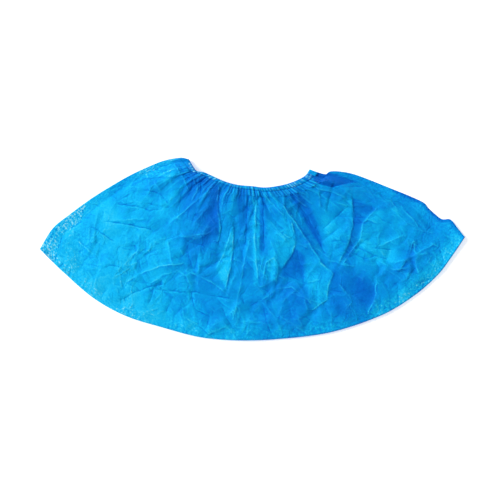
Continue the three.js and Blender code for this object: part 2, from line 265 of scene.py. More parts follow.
# %% Creases of the upper leaf
# Columns: rise, reach to the left, reach to the right, then the places, all in millimetres
CREASES = [
    # The toe
    (-0.9, 2.0, 1.5, [(-159, 36), (-161, 25), (-170, 20), (-178, 15), (-180, 8), (-185, -10)]),
    (-0.8, 1.5, 5.0, [(-100, 66), (-88, 67), (-75, 67)]),
    (-0.7, 2.0, 4.0, [(-125, 46), (-109, 54), (-97, 55), (-86, 52), (-79, 43)]),
    (-0.8, 1.5, 3.0, [(-125, 42), (-109, 40), (-95, 36), (-85, 38)]),
    (-1.3, 1.5, 4.0, [(-137, 26), (-121, 24), (-106, 21), (-94, 18)]),
    (-0.8, 2.0, 2.0, [(-158, 24), (-147, 19), (-137, 12), (-130, 8)]),
    (0.9, 1.2, 3.0, [(-120, -15), (-107, -1)]),
    (-0.8, 3.0, 1.5, [(-140, -18), (-133, -15), (-123, -17), (-117, -22)]),
    (1.4, 1.5, 5.0, [(-116, -30), (-100, -21), (-88, -16), (-65, -13)]),
    (0.8, 1.5, 4.0, [(-95, -32), (-81, -23), (-71, -20), (-62, -24), (-57, -34)]),
    (-1.1, 1.5, 3.0, [(-123, -48), (-109, -40), (-98, -36), (-85, -33)]),
    (-0.9, 1.5, 3.0, [(-90, -38), (-76, -39), (-63, -40)]),
    # Between the toe and the middle
    (-1.0, 1.5, 5.0, [(-56, -40), (-34, -44), (-14, -47)]),
    (-1.1, 1.5, 3.0, [(-57, -40), (-56, -48), (-54, -56), (-45, -61), (-40, -63), (-43, -72)]),
    (1.1, 1.5, 3.0, [(-56, -23), (-39, -30), (-25, -40)]),
    (-0.9, 2.0, 2.0, [(-28, -56), (-24, -65), (-19, -72)]),
    (1.3, 1.5, 4.0, [(-76, 25), (-62, 37), (-44, 52)]),
    (0.9, 1.5, 3.0, [(-62, 12), (-43, 14), (-36, 19)]),
    (1.5, 8.0, 0.8, [(-32, 8), (-30, 23), (-33, 41), (-31, 57)]),
    (-1.2, 1.5, 2.5, [(-67, 72), (-61, 74), (-56, 72)]),
    # The bunched toe corner of the mouth
    (1.8, 0.9, 0.9, [(-60, 80), (-57, 76)]),
    (-1.6, 1.1, 1.1, [(-58, 81), (-54, 75), (-50, 69)]),
    (1.2, 1.0, 1.4, [(-64, 80), (-60, 73), (-55, 67), (-52, 58)]),
    (-1.3, 1.0, 1.6, [(-68, 79), (-64, 72), (-59, 66)]),
    (1.1, 1.0, 1.0, [(-73, 80), (-69, 73), (-64, 66), (-60, 56)]),
    (-1.0, 1.4, 1.0, [(-55, 66), (-57, 56), (-62, 46)]),
    (1.0, 0.9, 0.9, [(-50, 66), (-51, 57), (-56, 46)]),
    (-1.0, 0.9, 0.9, [(-47, 64), (-48, 55), (-50, 44)]),
    # The middle
    (0.9, 3.0, 1.5, [(-19, 19), (-26, -3), (-33, -17)]),
    (1.6, 0.8, 6.0, [(-18, 20), (-19, -6), (-25, -37)]),
    (1.3, 3.0, 3.0, [(-3, 7), (-8, -12), (-12, -39), (-18, -65)]),
    (1.2, 2.0, 2.0, [(4, 51), (2, 13), (5, -29)]),
    (-1.0, 2.0, 2.0, [(-4, 51), (-6, 8)]),
    (-1.0, 2.0, 2.0, [(10, 48), (11, -1)]),
    (1.4, 0.8, 9.0, [(37, 24), (40, 8), (38, -2), (28, -17)]),
    (1.2, 0.8, 5.0, [(10, -27), (13, -12), (20, -7), (24, -15), (22, -31)]),
    (0.8, 3.0, 2.0, [(10, -47), (24, -37), (37, -35), (54, -50)]),
    (-0.8, 2.0, 2.0, [(10, -52), (13, -67), (17, -78)]),
    # The long fold towards the heel, and the fine ones beside it
    (2.2, 3.0, 3.0, [(28, 41), (41, 23), (51, 8), (63, -10)]),
    (-1.5, 3.0, 5.0, [(36, 51), (52, 30), (67, -3)]),
    (0.9, 1.2, 1.2, [(11, 51), (22, 38), (30, 32)]),
    (0.9, 1.2, 1.2, [(16, 53), (28, 40), (37, 31)]),
    (0.9, 1.2, 1.2, [(31, 54), (42, 46), (50, 40)]),
    (0.8, 1.2, 1.2, [(37, 56), (47, 49), (55, 43)]),
    # The mouth's heel corner
    (1.6, 1.2, 5.0, [(49, 65), (62, 56), (74, 54), (86, 48)]),
    (1.0, 1.5, 2.0, [(62, 56), (63, 40)]),
    (-1.8, 4.0, 1.2, [(55, 65), (65, 60), (74, 58), (94, 63)]),
    # The heel
    (-0.8, 2.0, 2.0, [(67, 20), (77, 29), (89, 40)]),
    (-0.7, 2.0, 3.0, [(74, 7), (84, 8), (92, 4)]),
    (1.4, 0.8, 7.0, [(93, 46), (94, 24), (90, 7), (82, -11)]),
    (1.4, 7.0, 0.8, [(116, 38), (104, 25), (100, 8), (85, -13)]),
    (-0.9, 2.0, 2.0, [(104, 5), (113, 1), (129, 0)]),
    (0.8, 1.5, 1.5, [(130, 46), (136, 36)]),
    (1.0, 1.5, 3.0, [(140, 40), (155, 22)]),
    (1.2, 0.8, 5.0, [(151, 7), (145, -8), (138, -19)]),
    (1.2, 5.0, 0.8, [(152, 7), (153, -8), (155, -22)]),
    (1.6, 8.0, 0.9, [(116, -27), (116, -42), (109, -60)]),
    (1.4, 0.8, 6.0, [(63, -12), (75, -23), (71, -34), (70, -47), (57, -56)]),
    (0.8, 1.5, 1.5, [(82, -34), (91, -45)]),
    (-0.9, 1.5, 1.5, [(136, -32), (137, -48)]),
    (-0.7, 1.5, 1.5, [(175, 8), (179, -12)]),
    (-0.7, 1.5, 1.5, [(119, -58), (112, -65)]),
]
print("creases placed by hand:", len(CREASES))


# %% What a crease does
def crease(place, points, rise, left, right):
    """A bent line that rises or sinks, as (height, lines). The height falls off with the distance, as a
    bell curve with a sharp crest and with one reach on each side. Lines holds the crest, which fades
    from 1 if raised or -1 if sunk, and the offset, which is above 0 on the side of SHADE_SIDE."""
    away = np.full(place.shape[:-1], np.inf)
    side = np.zeros(place.shape[:-1])
    for start, end in zip(points[:-1], points[1:]):
        step = end - start
        from_start = place - start
        share = np.clip(from_start @ step / (step @ step), 0, 1)
        apart = from_start - share[..., None] * step
        distance = np.hypot(apart[..., 0], apart[..., 1])
        nearer = distance < away
        away = np.where(nearer, distance, away)
        side = np.where(nearer, step[0] * from_start[..., 1] - step[1] * from_start[..., 0], side)
    reach = np.where(side > 0, left, right)
    crest = np.sign(rise) * np.exp(-((away / LINE_REACH) ** 2))
    run = points[-1] - points[0]
    shaded = np.sign(side) * np.sign(run[0] * SHADE_SIDE[1] - run[1] * SHADE_SIDE[0])
    return rise * np.exp(-((away / reach) ** 1.3)), np.stack([crest, away * shaded])


def all_creases(place, rows):
    """A table's creases, as (height, lines). The heights add up, and a higher crease has a stronger line."""
    height = np.zeros(place.shape[:-1])
    lines = np.zeros((2, *height.shape))
    for rise, left, right, points in rows:
        there, line = crease(place, MM * np.array(points, float), rise * MM, left * MM, right * MM)
        line[0] *= min(1, 0.35 + 0.45 * abs(rise))
        height += there
        lines = sharper(lines, line)
    return height, lines


# %% [markdown]
# ## Soft hills
#
# Under all that, the leaf has a few broad hills where air is trapped. A sum of long sine waves in
# random directions is smooth, has no grid to show, and costs nothing.

# %% Hills
def hills(place, seed, size, waves=9):
    """Smooth hills about as wide as size: sine waves in random directions, added up to about 1."""
    rng = np.random.default_rng(seed)
    angle = rng.uniform(0, 2 * np.pi, waves)
    number = 2 * np.pi / (size * rng.uniform(0.7, 1.6, waves))
    phase = rng.uniform(0, 2 * np.pi, waves)
    run = place[..., 0, None] * np.cos(angle) + place[..., 1, None] * np.sin(angle)
    return np.sin(run * number + phase).sum(-1) / np.sqrt(waves)


# %% [markdown]
# ## Crumple
#
# Between the long creases, the cloth is crumpled all over, in short straight folds with flat facets
# between them. Noise makes hills, which look like dough. So there are two kinds of crumple: zigzag
# waves, which leave flat facets and straight edges, and many short creases in random places.

# %% Crumple of a leaf
def facets(place, seed, size, count=9):
    """Flat facets, added up to about 1: zigzag waves about as long as size, in random directions. Each
    is bent a little by hills, and is there only in patches."""
    rng = np.random.default_rng(seed)
    total = np.zeros(place.shape[:-1])
    for k in range(count):
        angle = rng.uniform(0, np.pi)
        wave = size * rng.uniform(0.6, 1.6)
        across = place[..., 0] * np.cos(angle) + place[..., 1] * np.sin(angle)
        run = across / wave + rng.uniform() + 0.16 * hills(place, seed + 100 + k, 2.5 * size, 5)
        zigzag = 4 * np.abs(run - np.round(run)) - 1
        total += zigzag * wave / size * ease(-0.2, 1.2, hills(place, seed + 200 + k, 3.5 * size, 5))
    return total / np.sqrt(count)


MOUTH_MIDDLE = np.array([0, 0.075])
CRUMPLE_REACH = (0.9 * MM, 4.5 * MM)  # least and greatest reach to each side
CRUMPLE_MARGIN = 12 * MM  # further than this from its ends, next to nothing is left of a crease


def crumple(place, count, seed, rise, length):
    """Many short creases, as (height, lines), with their least and greatest rise and length. They are
    straight but for a small bend, and lean towards the middle of the mouth, as folds under a pull do."""
    rng = np.random.default_rng(seed)
    centre = rng.uniform(CAD_LOW[:2], CAD_HIGH[:2], (count, 2))
    to_mouth = MOUTH_MIDDLE - centre
    angle = np.arctan2(to_mouth[:, 1], to_mouth[:, 0]) + rng.normal(0, 1, count)
    half = 0.5 * rng.uniform(*length, count)
    ends = np.stack([np.cos(angle), np.sin(angle)], axis=-1) * half[:, None]
    bend = rng.normal(0, 0.12, count) * half
    heights = rng.uniform(*rise, count) * rng.choice([-1, 1], count)
    reaches = rng.uniform(*CRUMPLE_REACH, (count, 2))
    total = np.zeros(place.shape[:-1])
    lines = np.zeros((2, *total.shape))
    for middle, run, bow, height, (left, right) in zip(centre, ends, bend, heights, reaches):
        near = np.linalg.norm(place - middle, axis=-1) < np.linalg.norm(run) + CRUMPLE_MARGIN
        bent = middle + bow * np.array([-run[1], run[0]]) / np.linalg.norm(run)
        there, line = crease(place[near], np.array([middle - run, bent, middle + run]), height, left, right)
        line[0] *= abs(height) / rise[1]
        total[near] += there
        lines[:, near] = sharper(lines[:, near], line)
    return total, lines


# %% [markdown]
# ## The two leaves' levels
#
# Now the parts add up. Each detail fades at the welds, where the leaves are pressed flat together. The
# lower leaf lies on the ground, so its folds can only rise, into the pocket between the leaves. A
# displacement modifier would do the same from an image, but here every height stays a formula.

# %% Welds, tips, hem and sole fold
HEM_PLEATS = 38
TUBE_RISE = 1.2 * MM  # of the hem over the leaf
DIP = 0.5 * MM  # where its turned-in edge ends


def loose(u):
    """1 where a leaf is free, 0 on the welds."""
    across = across_pocket(u)
    return ease(0, 0.06, across) * ease(0, 0.06, 1 - across)


def lifts(place):
    """Both leaves together rise at the toe's and the heel's tip, where nothing holds them down."""
    toe = ease(-0.165, -0.2, place[..., 0]) * 1.5 * MM
    heel = ease(0.165, 0.2, place[..., 0]) * 3.0 * MM
    return toe + heel


def hem_pleats(u):
    """The hem's own fine pleats, as a wave in u from -1 to 1 with an uneven pitch."""
    return np.cos(2 * np.pi * (HEM_PLEATS * u + 0.8 * np.sin(9 * u) + 0.5 * np.sin(31 * u)))


def hem_roll(u, v):
    """The hem stands up as a soft tube, half an ellipse over its depth, with a dip where it ends."""
    share = np.clip((v - HEM_LINE) / (1 - HEM_LINE), 0, 1)
    tube = TUBE_RISE * np.sqrt(np.clip(1 - (2 * share - 1) ** 2, 0, 1)) * (v > HEM_LINE)
    dip = DIP * np.exp(-(((v - HEM_LINE) * FAN_LENGTH / (1.0 * MM)) ** 2))
    return tube * (0.85 + 0.15 * hem_pleats(u)) - dip


def puckers(u, v):
    """Short pleats across the sole fold, as (height, painted light): narrow waves in u, there only in
    patches, with a painted highlight on their tops and painted shade between them.
    """
    turn = 2 * np.pi * (71 * u + 1.1 * np.sin(23 * u) + 0.7 * np.sin(57 * u + 1))
    patch = np.clip(np.sin(19 * u + 0.6) + 0.5 * np.sin(43 * u), 0, 1)
    wave = np.cos(turn) * patch * (1 - ease(0.015, 0.07, v))
    # painted highlight where a pucker rises, painted shade where it sinks
    return 0.3 * MM * wave, -0.22 * wave


print("pleats along the hem:", HEM_PLEATS)

# %% The upper leaf's relief
FOLD_SHARE = 0.8  # of the rises in the table of creases
FOLD_LINE = 0.85  # strength of their lines
# Columns: how many, seed, least and greatest rise, shortest and longest, strength of their lines
UPPER_CRUMPLE = [
    (380, 5, (0.4 * MM, 1.25 * MM), (9 * MM, 32 * MM), 0.55),
    (620, 6, (0.25 * MM, 0.75 * MM), (4 * MM, 12 * MM), 0.4),
]
UPPER_FACETS = [(1.1 * MM, 61, 26 * MM), (0.35 * MM, 62, 10 * MM)]  # height, seed and size
SWELL = (0.8 * MM, 7, 60 * MM)  # height, seed and size of the broad hills
LEFT_BY_HEM = 0.15  # share of the folds that goes on under the hem
MIDDLE = np.array([[0.5]])  # u or v of the middle of a leaf


def upper_relief(u, v):
    """The upper leaf's outer side, as (height, painted light, lines). The painted light is the shade and
    highlight painted on the ribs and puckers.
    """
    place = plan(u, v)
    free = loose(u)
    body = free * ease(0.0, 0.06, v)
    below_hem = 1 - ease(0.90, 0.97, v)
    by_hem = LEFT_BY_HEM + (1 - LEFT_BY_HEM) * below_hem
    folds, lines = all_creases(place, CREASES)
    lines[0] *= FOLD_LINE
    rough = sum(tall * facets(place, seed, size) for tall, seed, size in UPPER_FACETS)
    for count, seed, rise, length, strength in UPPER_CRUMPLE:
        short, short_lines = crumple(place, count, seed, rise, length)
        short_lines[0] *= strength
        rough += short
        lines = sharper(lines, short_lines)
    lines[0] *= by_hem
    ribs, rib_painted_light, rib_lines = gathers(u, v, 11, GATHERS)
    pucker, pucker_painted_light = puckers(u, v)
    height = ground_level(u, v) + LEAF_GAP + puff(u, v) + lifts(place)
    height += FOLD_SHARE * folds * by_hem * body
    height += rough * (0.3 + 0.7 * body) * (0.3 + 0.7 * below_hem)
    height += SWELL[0] * hills(place, *SWELL[1:]) * body * below_hem
    height += ribs * (0.25 + 0.75 * free) + pucker + hem_roll(u, v)
    return height, rib_painted_light * free + pucker_painted_light, sharper(lines, rib_lines)


def upper_level(u, v):
    """The upper leaf's outer side."""
    return upper_relief(u, v)[0]


print(f"the upper leaf's middle lies {upper_level(MIDDLE, MIDDLE)[0, 0] / MM:.1f} mm high")

# %% The lower leaf's level
LOWER_CRUMPLE = (420, 15, (0.6 * MM, 1.8 * MM), (14 * MM, 40 * MM))
LOWER_FACETS = (1.6 * MM, 63, 22 * MM)


def lower_level(u, v):
    """The lower leaf's outer side, which lies on the ground. A soft limit, a hyperbolic tangent, keeps
    its folds under two thirds of the room below the upper leaf."""
    place = plan(u, v)
    room = 0.62 * puff(u, v) + 0.3 * MM
    rough = np.abs(crumple(place, *LOWER_CRUMPLE)[0])
    flats = LOWER_FACETS[0] * np.abs(facets(place, *LOWER_FACETS[1:]))
    folds = (rough + flats) * ease(0.02, 0.1, v) + gathers(u, v, 21, LOWER_GATHERS)[0]
    return ground_level(u, v) + lifts(place) + room * np.tanh(folds * loose(u) / room)


print(f"the lower leaf's middle lies {lower_level(MIDDLE, MIDDLE)[0, 0] / MM:.1f} mm high")

# %% [markdown]
# ## Meshes from grids
#
# A grid of points becomes a mesh with one face for each cell. foreach_set writes whole arrays at once.
# The sheet's own directions go into a UV map, in metres of flat cloth, so the embossed pattern of the
# cloth squeezes together in the gathers as it does on the real cover.

# %% A mesh from a grid
CLOTH = 0.35 * MM


def put_in_scene(name, data):
    """An object with its data, linked to the scene."""
    made = bpy.data.objects.new(name, data)
    bpy.context.scene.collection.objects.link(made)
    return made


def grid_mesh(name, points, uv, looks, flip=False):
    """A mesh of one quad for each cell of an (m, n) grid of points, with a UV map, and with the looks as
    attributes that the material reads."""
    rows, columns = points.shape[:2]
    index = np.arange(rows * columns).reshape(rows, columns)
    corners = [index[:-1, :-1], index[:-1, 1:], index[1:, 1:], index[1:, :-1]]
    if flip:
        corners.reverse()
    quads = np.stack([c.ravel() for c in corners], axis=1)
    mesh = bpy.data.meshes.new(name)
    mesh.from_pydata(points.reshape(-1, 3), [], quads)
    mesh.uv_layers.new(name="cloth").uv.foreach_set("vector", uv.reshape(-1, 2)[quads.ravel()].ravel())
    for title, values in looks.items():
        mesh.attributes.new(title, "FLOAT", "POINT").data.foreach_set("value", values.ravel())
    mesh.shade_smooth()
    mesh.update()
    return put_in_scene(name, mesh)


def thicken(piece, thickness):
    """Gives a sheet its thickness, away from the side that its faces point to."""
    wall = piece.modifiers.new("Cloth thickness", "SOLIDIFY")
    wall.thickness = thickness
    wall.offset = -1
    return piece


# %% [markdown]
# ## Layers
#
# Spunbond cloth lets light through. One layer over white ground is pale cyan, two are blue, and where
# a pleat is folded under, three or four are deep blue, with an edge as sharp as the fold. The leaf has
# only one height at each place, so it can't fold under itself. Each zone is a row of a table instead:
# how much darker or paler it is, and its corners, each with how soft the edge is that starts there.

# %% Tones of the upper leaf
# Columns: tone from -1, one layer, over 0, two layers, to 1, four; then corners as (x, y, softness)
TOE_FLANGE = [(-206, -1, 1), (-180, 25, 1), (-157, 44, 1), (-161, 25, 1), (-178, 14, 9)]
TOE_TIP = [(-206, -1, 1), (-178, 14, 9), (-180, 8, 1), (-186, -14, 1)]
ZONES = [
    # Pale: the toe's flange and the edge of the cloth
    (-0.3, TOE_FLANGE),
    (-0.3, TOE_TIP),
    (-0.35, [(-109, 69, 6), (-95, 84, 1), (-74, 91, 6), (-71, 79, 4), (-75, 67, 1), (-97, 67, 5)]),
    (-0.05, [(178, 31, 1), (202, 12, 1), (193, -7, 1), (176, -12, 4)]),
    # Light panels where the cloth is smooth and single
    (-0.45, [(-18, 21, 1), (-19, -7, 1), (-25, -37, 1), (-34, -18, 3)]),
    (-0.4, [(0, 46, 1), (7, 46, 1), (6, -34, 3), (1, -34, 1)]),
    (-0.35, [(12, 25, 5), (28, 33, 3), (38, 22, 1), (40, 1, 1), (28, -17, 5), (16, -12, 4)]),
    (-0.35, [(10, -26, 1), (13, -12, 1), (20, -7, 1), (24, -15, 1), (22, -31, 5)]),
    (-0.4, [(101, 33, 2), (138, 40, 8), (144, 16, 8), (136, -14, 6), (95, -18, 4)]),
    (-0.3, [(65, 46, 4), (92, 48, 1), (94, 25, 1), (89, 5, 1), (82, -11, 5), (67, -1, 5)]),
    (-0.3, [(49, -8, 5), (63, -10, 1), (75, -23, 1), (70, -47, 1), (57, -56, 3), (50, -39, 4)]),
    # A second fold of cloth behind the toe's upper edge
    (0.25, [(-123, 74, 6), (-66, 90, 4), (-66, 60, 8), (-105, 44, 8), (-132, 50, 6)]),
    # Dark: the bunched ends of the hem, round their stitches
    (0.45, [(48, 66, 1), (53, 77, 1), (59, 75, 1), (54, 63, 1)]),
    (0.4, [(-64, 82, 2), (-58, 85, 1), (-51, 71, 1), (-57, 69, 2)]),
    # Dark: pleats under the toe side of the mouth
    (0.55, [(-66, 69, 6), (-43, 72, 3), (-31, 57, 2), (-31, 11, 9), (-50, 8, 12), (-68, 32, 12)]),
    (0.3, [(-44, 60, 4), (-31, 58, 1), (-31, 10, 4), (-41, 14, 6)]),
    (0.45, [(-65, 14, 8), (-42, 16, 8), (-31, 12, 3), (-49, -7, 4), (-60, -23, 3)]),
    (0.15, [(-59, -12, 5), (-33, -14, 5), (-27, -40, 2), (-56, -40, 2)]),
    (0.4, [(-14, 56, 2), (-4, 56, 2), (-3, 16, 5), (-13, 22, 2)]),
    (0.35, [(7, 50, 1), (16, 46, 4), (14, 25, 3), (14, -3, 4), (7, -3, 1)]),
    # Dark: beside the long fold and round the heel side of the mouth
    (0.6, [(28, -18, 2), (40, 1, 1), (49, -7, 3), (48, -28, 3), (27, -26, 3)]),
    # painted shade on the long fold's shaded flank
    (0.7, [(30, 52, 3), (47, 52, 4), (58, 32, 3), (68, -7, 3), (52, 20, 1)]),
    # painted shade in the pocket inside the mouth's heel corner
    (0.95, [(56, 74, 1), (72, 72, 2), (98, 63, 2), (74, 58, 1), (58, 63, 1)]),
    # Dark: pleats of the heel
    (0.5, [(93, 47, 2), (117, 38, 1), (104, 24, 4), (94, 24, 1)]),
    (0.45, [(94, 27, 4), (104, 27, 1), (100, 6, 1), (84, -13, 3), (90, 7, 1)]),
    (0.25, [(120, 43, 4), (134, 43, 5), (134, 12, 5), (121, 12, 5)]),
    (0.4, [(151, 8, 1), (155, -23, 1), (138, -20, 1)]),
    (0.45, [(76, -12, 6), (114, -29, 2), (116, -46, 3), (108, -65, 6), (86, -67, 6), (71, -48, 3),
            (73, -29, 3)]),
    (0.25, [(97, -27, 5), (116, -32, 1), (116, -48, 4), (105, -64, 5), (95, -50, 5)]),
    (0.2, [(10, -29, 3), (56, -34, 3), (63, -76, 8), (10, -80, 5)]),
    (-0.1, [(-31, -44, 1), (10, -40, 5), (10, -80, 5), (-25, -80, 5)]),
]
ZONE_SHARE = 0.95


def zone(place, corners):
    """1 inside a convex polygon, 0 outside. Every edge has its own softness, and the corners run
    clockwise or anticlockwise: the middle of the corners tells which side is the inside."""
    corners = np.array(corners, float) * MM
    middle = corners[:, :2].mean(0)
    inside = np.ones(place.shape[:-1])
    for start, end in zip(corners, np.roll(corners, -1, axis=0)):
        step = end[:2] - start[:2]
        normal = np.array([-step[1], step[0]]) / np.linalg.norm(step)
        if (middle - start[:2]) @ normal < 0:
            normal = -normal
        inside *= ease(-start[2], start[2], (place - start[:2]) @ normal)
    return inside


def hem_shade_and_edge(u, v):
    """The hem's pleats get a painted highlight on top and painted shade in the valleys. Its upper edge is
    dark.
    """
    hem = ease(HEM_LINE - 0.004, HEM_LINE + 0.004, v)
    pleat = hem_pleats(u)
    # painted shade in the hem's pleat valleys, painted highlight on their tops
    sides = 0.3 * np.clip(-pleat, 0, 1) ** 2 - 0.2 * np.clip(pleat, 0, 1) ** 2
    return hem * sides + 0.4 * ease(0.988, 0.994, v)


def tone_of(u, v, tint):
    """Layers of cloth that the eye sees through: the table's zones on a slow change from toe to heel,
    and the painted shade and highlight of folds and ribs. It is darker below the hem, on the heel weld and
    on the very edge of the sole fold, and paler just above that."""
    place = plan(u, v)
    x = place[..., 0]
    tone = 0.52 * ease(-0.13, 0.0, x) - 0.1 * ease(0.1, 0.2, x) - 0.36
    for shade, corners in ZONES:
        tone += ZONE_SHARE * shade * zone(place, corners)
    tone += 0.1 * hills(place, 31, 30 * MM)
    sole_edge = (1 - ease(0.002, 0.008, v)) * ease(0.0, 0.08, x)
    above_sole = (1 - ease(0.03, 0.1, v)) * (1 + ease(0.08, 0.13, x))
    seam_patches = 0.5 + 0.5 * np.tanh(30 * np.sin(5.5 * v + 0.4))
    heel_seam = (1 - ease(0.004, 0.012, 1 - u)) * seam_patches
    below_hem = ease(0.84, 0.95, v) * (1 - ease(0.955, 0.965, v))
    tone += 0.4 * sole_edge - 0.24 * above_sole + 0.7 * heel_seam + 0.2 * below_hem
    return tone + tint + hem_shade_and_edge(u, v)


print("zones placed by hand:", len(ZONES))

# %% [markdown]
# ## Stitches
#
# Two rows of thread hold the hem, and each end of the elastic is sewn down. Thread as geometry would be
# far finer than a pixel, so each point of the leaf keeps how much thread shows there: dashes that sit
# on the pleats, brighter in some places than in others.

# %% The hem's dashes and the corners' stitches
DASH_ROWS = (0.968, 0.986)  # v of the two rows that hold the hem
DASH_HALF_LENGTH = 0.007  # in v
DASH_HALF_WIDTH = 0.7 * MM
STRONG_DASHES = [(0.22, 0.11), (0.82, 0.05)]  # u of the middle, and the half width in u
STITCHES = [  # rows of stitches at the mouth's corners: from, to, in millimetres, and how many
    ((49.8, 66.5), (54.0, 74.8), 5),
    ((52.6, 65.0), (56.8, 73.4), 5),
    ((-59.6, 81.0), (-54.0, 71.5), 4),
]


def corner_stitches(place):
    """1 on the corners' stitches: short dashes in rows, brightest at the start of a row."""
    shown = np.zeros(place.shape[:-1])
    for start, end, count in STITCHES:
        start, end = MM * np.array(start), MM * np.array(end)
        step = end - start
        from_start = place - start
        share = from_start @ step / (step @ step)
        aside = (step[0] * from_start[..., 1] - step[1] * from_start[..., 0]) / np.linalg.norm(step)
        inside = ease(-0.05, 0.05, share) * ease(-0.05, 0.05, 1 - share)
        dash = 0.5 - 0.5 * np.cos(2 * np.pi * count * share)
        width = np.exp(-((aside / DASH_HALF_WIDTH) ** 2))
        shown += inside * dash * width * (1 - 0.5 * np.clip(share, 0, 1))
    return shown


def stitches(u, v):
    """How much thread shows, 0 to 1: on the hem's pleats where two rows hold them, and at the corners."""
    strong = 0.25 + sum(np.exp(-(((u - middle) / half) ** 2)) for middle, half in STRONG_DASHES)
    dashes = np.clip(hem_pleats(u), 0, 1) * loose(u) * strong
    shown = corner_stitches(plan(u, v))
    for k, row in enumerate(DASH_ROWS):
        uneven = np.clip(0.45 + np.sin(83 * u + 2 * k) * np.sin(37 * u + k), 0, 1)
        shown += dashes * uneven * np.exp(-(((v - row) / DASH_HALF_LENGTH) ** 2))
    return np.clip(shown, 0, 1)


print("rows of stitches:", len(DASH_ROWS), "along the hem and", len(STITCHES), "at the corners")

# %% [markdown]
# ## Grain
#
# Where the cloth is single, or pressed by the weld or the sole fold, its felt shows as pale speckles.
# The speckles come from the material. Here each point only gets how strong they are.

# %% Grain of the upper leaf
GRAIN = [  # where the felt shows as pale speckles: strength, then corners as (x, y, softness)
    (0.75, TOE_FLANGE),
    (0.75, TOE_TIP),
    (0.5, [(-108, 72, 4), (-92, 80, 3), (-74, 84, 6), (-72, 70, 3), (-90, 68, 4)]),
    (0.2, [(-116, -1, 4), (-108, 12, 5), (-88, 12, 6), (-88, -8, 6), (-108, -10, 5)]),
    (0.25, [(-150, -20, 8), (-142, 20, 8), (-170, 20, 8), (-175, -10, 8)]),
    (0.2, [(150, 34, 5), (190, 16, 4), (186, -8, 5), (160, -10, 8)]),
    (0.3, [(-36, 56, 2), (-27, 56, 2), (-27, 22, 4), (-36, 22, 4)]),
    (0.25, [(-6, 52, 3), (4, 52, 3), (0, 8, 4), (-8, 8, 4)]),
    (0.25, [(14, 52, 3), (24, 52, 3), (66, -8, 4), (56, -10, 4)]),
    (0.15, [(108, -58, 6), (120, -66, 4), (186, -18, 4), (176, -6, 8)]),
]


def grain_of(u, v):
    """How strongly the felt's speckles show: on the welds, along the sole fold and in the table's zones."""
    place = plan(u, v)
    welds = 1 - ease(0, 0.035, np.minimum(u, 1 - u))
    sole = 1 - ease(0.02, 0.085, v)
    edges = np.maximum(0.35 * welds, 0.45 * sole * (0.6 + 0.4 * hills(place, 47, 40 * MM)))
    return np.clip(edges + sum(strength * zone(place, corners) for strength, corners in GRAIN), 0, 1)


def gathered(u, v):
    """How strongly the fine pleats below the hem show: most by the hem, least in the middle of the leaf."""
    return ease(0.55, 0.93, v) * (1 - 0.7 * ease(HEM_LINE - 0.01, HEM_LINE, v)) * loose(u)


print("zones of grain:", len(GRAIN))

# %% [markdown]
# ## The upper leaf
#
# The upper leaf is one grid that starts at the raw edge inside the hem, runs up inside the hem, rolls
# over at the mouth, comes down the outside to the sole fold, and goes a little way round under it.
# The hem could be a separate strip, but on the real cover it is the same cloth, turned in.

# %% The upper leaf
HEM_RADIUS = 1.3 * MM
FLAP_END = 1 - 7.5 * MM / FAN_LENGTH  # v of the raw edge inside the hem
COLUMNS = np.linspace(0, 1, 273)  # u of the grid's columns
UNDER_SOLE = [0.004, 0.01, 0.018]  # v of the rows that go on round the sole fold, on the lower leaf
LEAF_BANDS = [  # v where a band starts and ends, and its rows: close by the hem and at the round sole fold
    (1 - HEM_RADIUS / FAN_LENGTH, 0.96, 9),
    (0.96, 0.78, 36),
    (0.78, 0.03, 104),
    (0.03, 0.0, 9),
]


def hem_rows(flap, turn):
    """v and the drop below the leaf's outer side, in the flap's rows and then the roll's.
    The roll is a half circle in v and height."""
    flap_v = np.linspace(FLAP_END, 1 - HEM_RADIUS / FAN_LENGTH, flap, endpoint=False)
    angle = np.linspace(0, np.pi, turn)
    turn_v = 1 - (1 - np.sin(angle)) * HEM_RADIUS / FAN_LENGTH
    turn_drop = (1 + np.cos(angle)) * HEM_RADIUS
    return np.concatenate([flap_v, turn_v]), np.concatenate([np.full(flap, 2 * HEM_RADIUS), turn_drop])


def down_the_leaf(share=1.0):
    """v of the rows from the hem's roll to the sole fold, or fewer rows by the share."""
    bands = [np.linspace(a, b, max(2, round(rows * share)), endpoint=False) for a, b, rows in LEAF_BANDS]
    return np.concatenate([*bands, [0.0]])[1:]


def cloth_uv(u, points):
    """The place on the flat sheet, in metres: across by u, and down by the length of the middle column."""
    middle = points[:, points.shape[1] // 2]
    run = np.concatenate([[0], np.cumsum(np.linalg.norm(np.diff(middle, axis=0), axis=1))])
    return np.dstack([u * SOLE_WIDTH, np.broadcast_to(run[:, None], u.shape)])


def upper_leaf():
    """The plan gives each point's place on the ground, and the relief its height. The hem's rows lie
    lower than the relief by their drop, and the last rows follow the lower leaf under the sole fold."""
    hem_v, hem_drop = hem_rows(5, 8)
    leaf_v = down_the_leaf()
    drop = np.concatenate([hem_drop, np.zeros(len(leaf_v))])
    u, v = np.meshgrid(COLUMNS, np.concatenate([hem_v, leaf_v]))
    height, tint, lines = upper_relief(u, v)
    outside = np.dstack([plan(u, v), height - drop[:, None]])
    u_under, v_under = np.meshgrid(COLUMNS, UNDER_SOLE)
    under = np.dstack([plan(u_under, v_under), lower_level(u_under, v_under)])
    points = np.vstack([outside, under])
    u = np.vstack([u, u_under])
    v = np.vstack([v, v_under])
    tint, crest, offset = (np.vstack([part, np.zeros(u_under.shape)]) for part in (tint, *lines))
    looks = {"tone": tone_of(u, v, tint), "grain": grain_of(u, v), "gathered": gathered(u, v)}
    looks |= {"crest": crest, "offset": offset / MM, "stitch": stitches(u, v)}
    return grid_mesh("cover_upper_leaf", points, cloth_uv(u, points), looks)


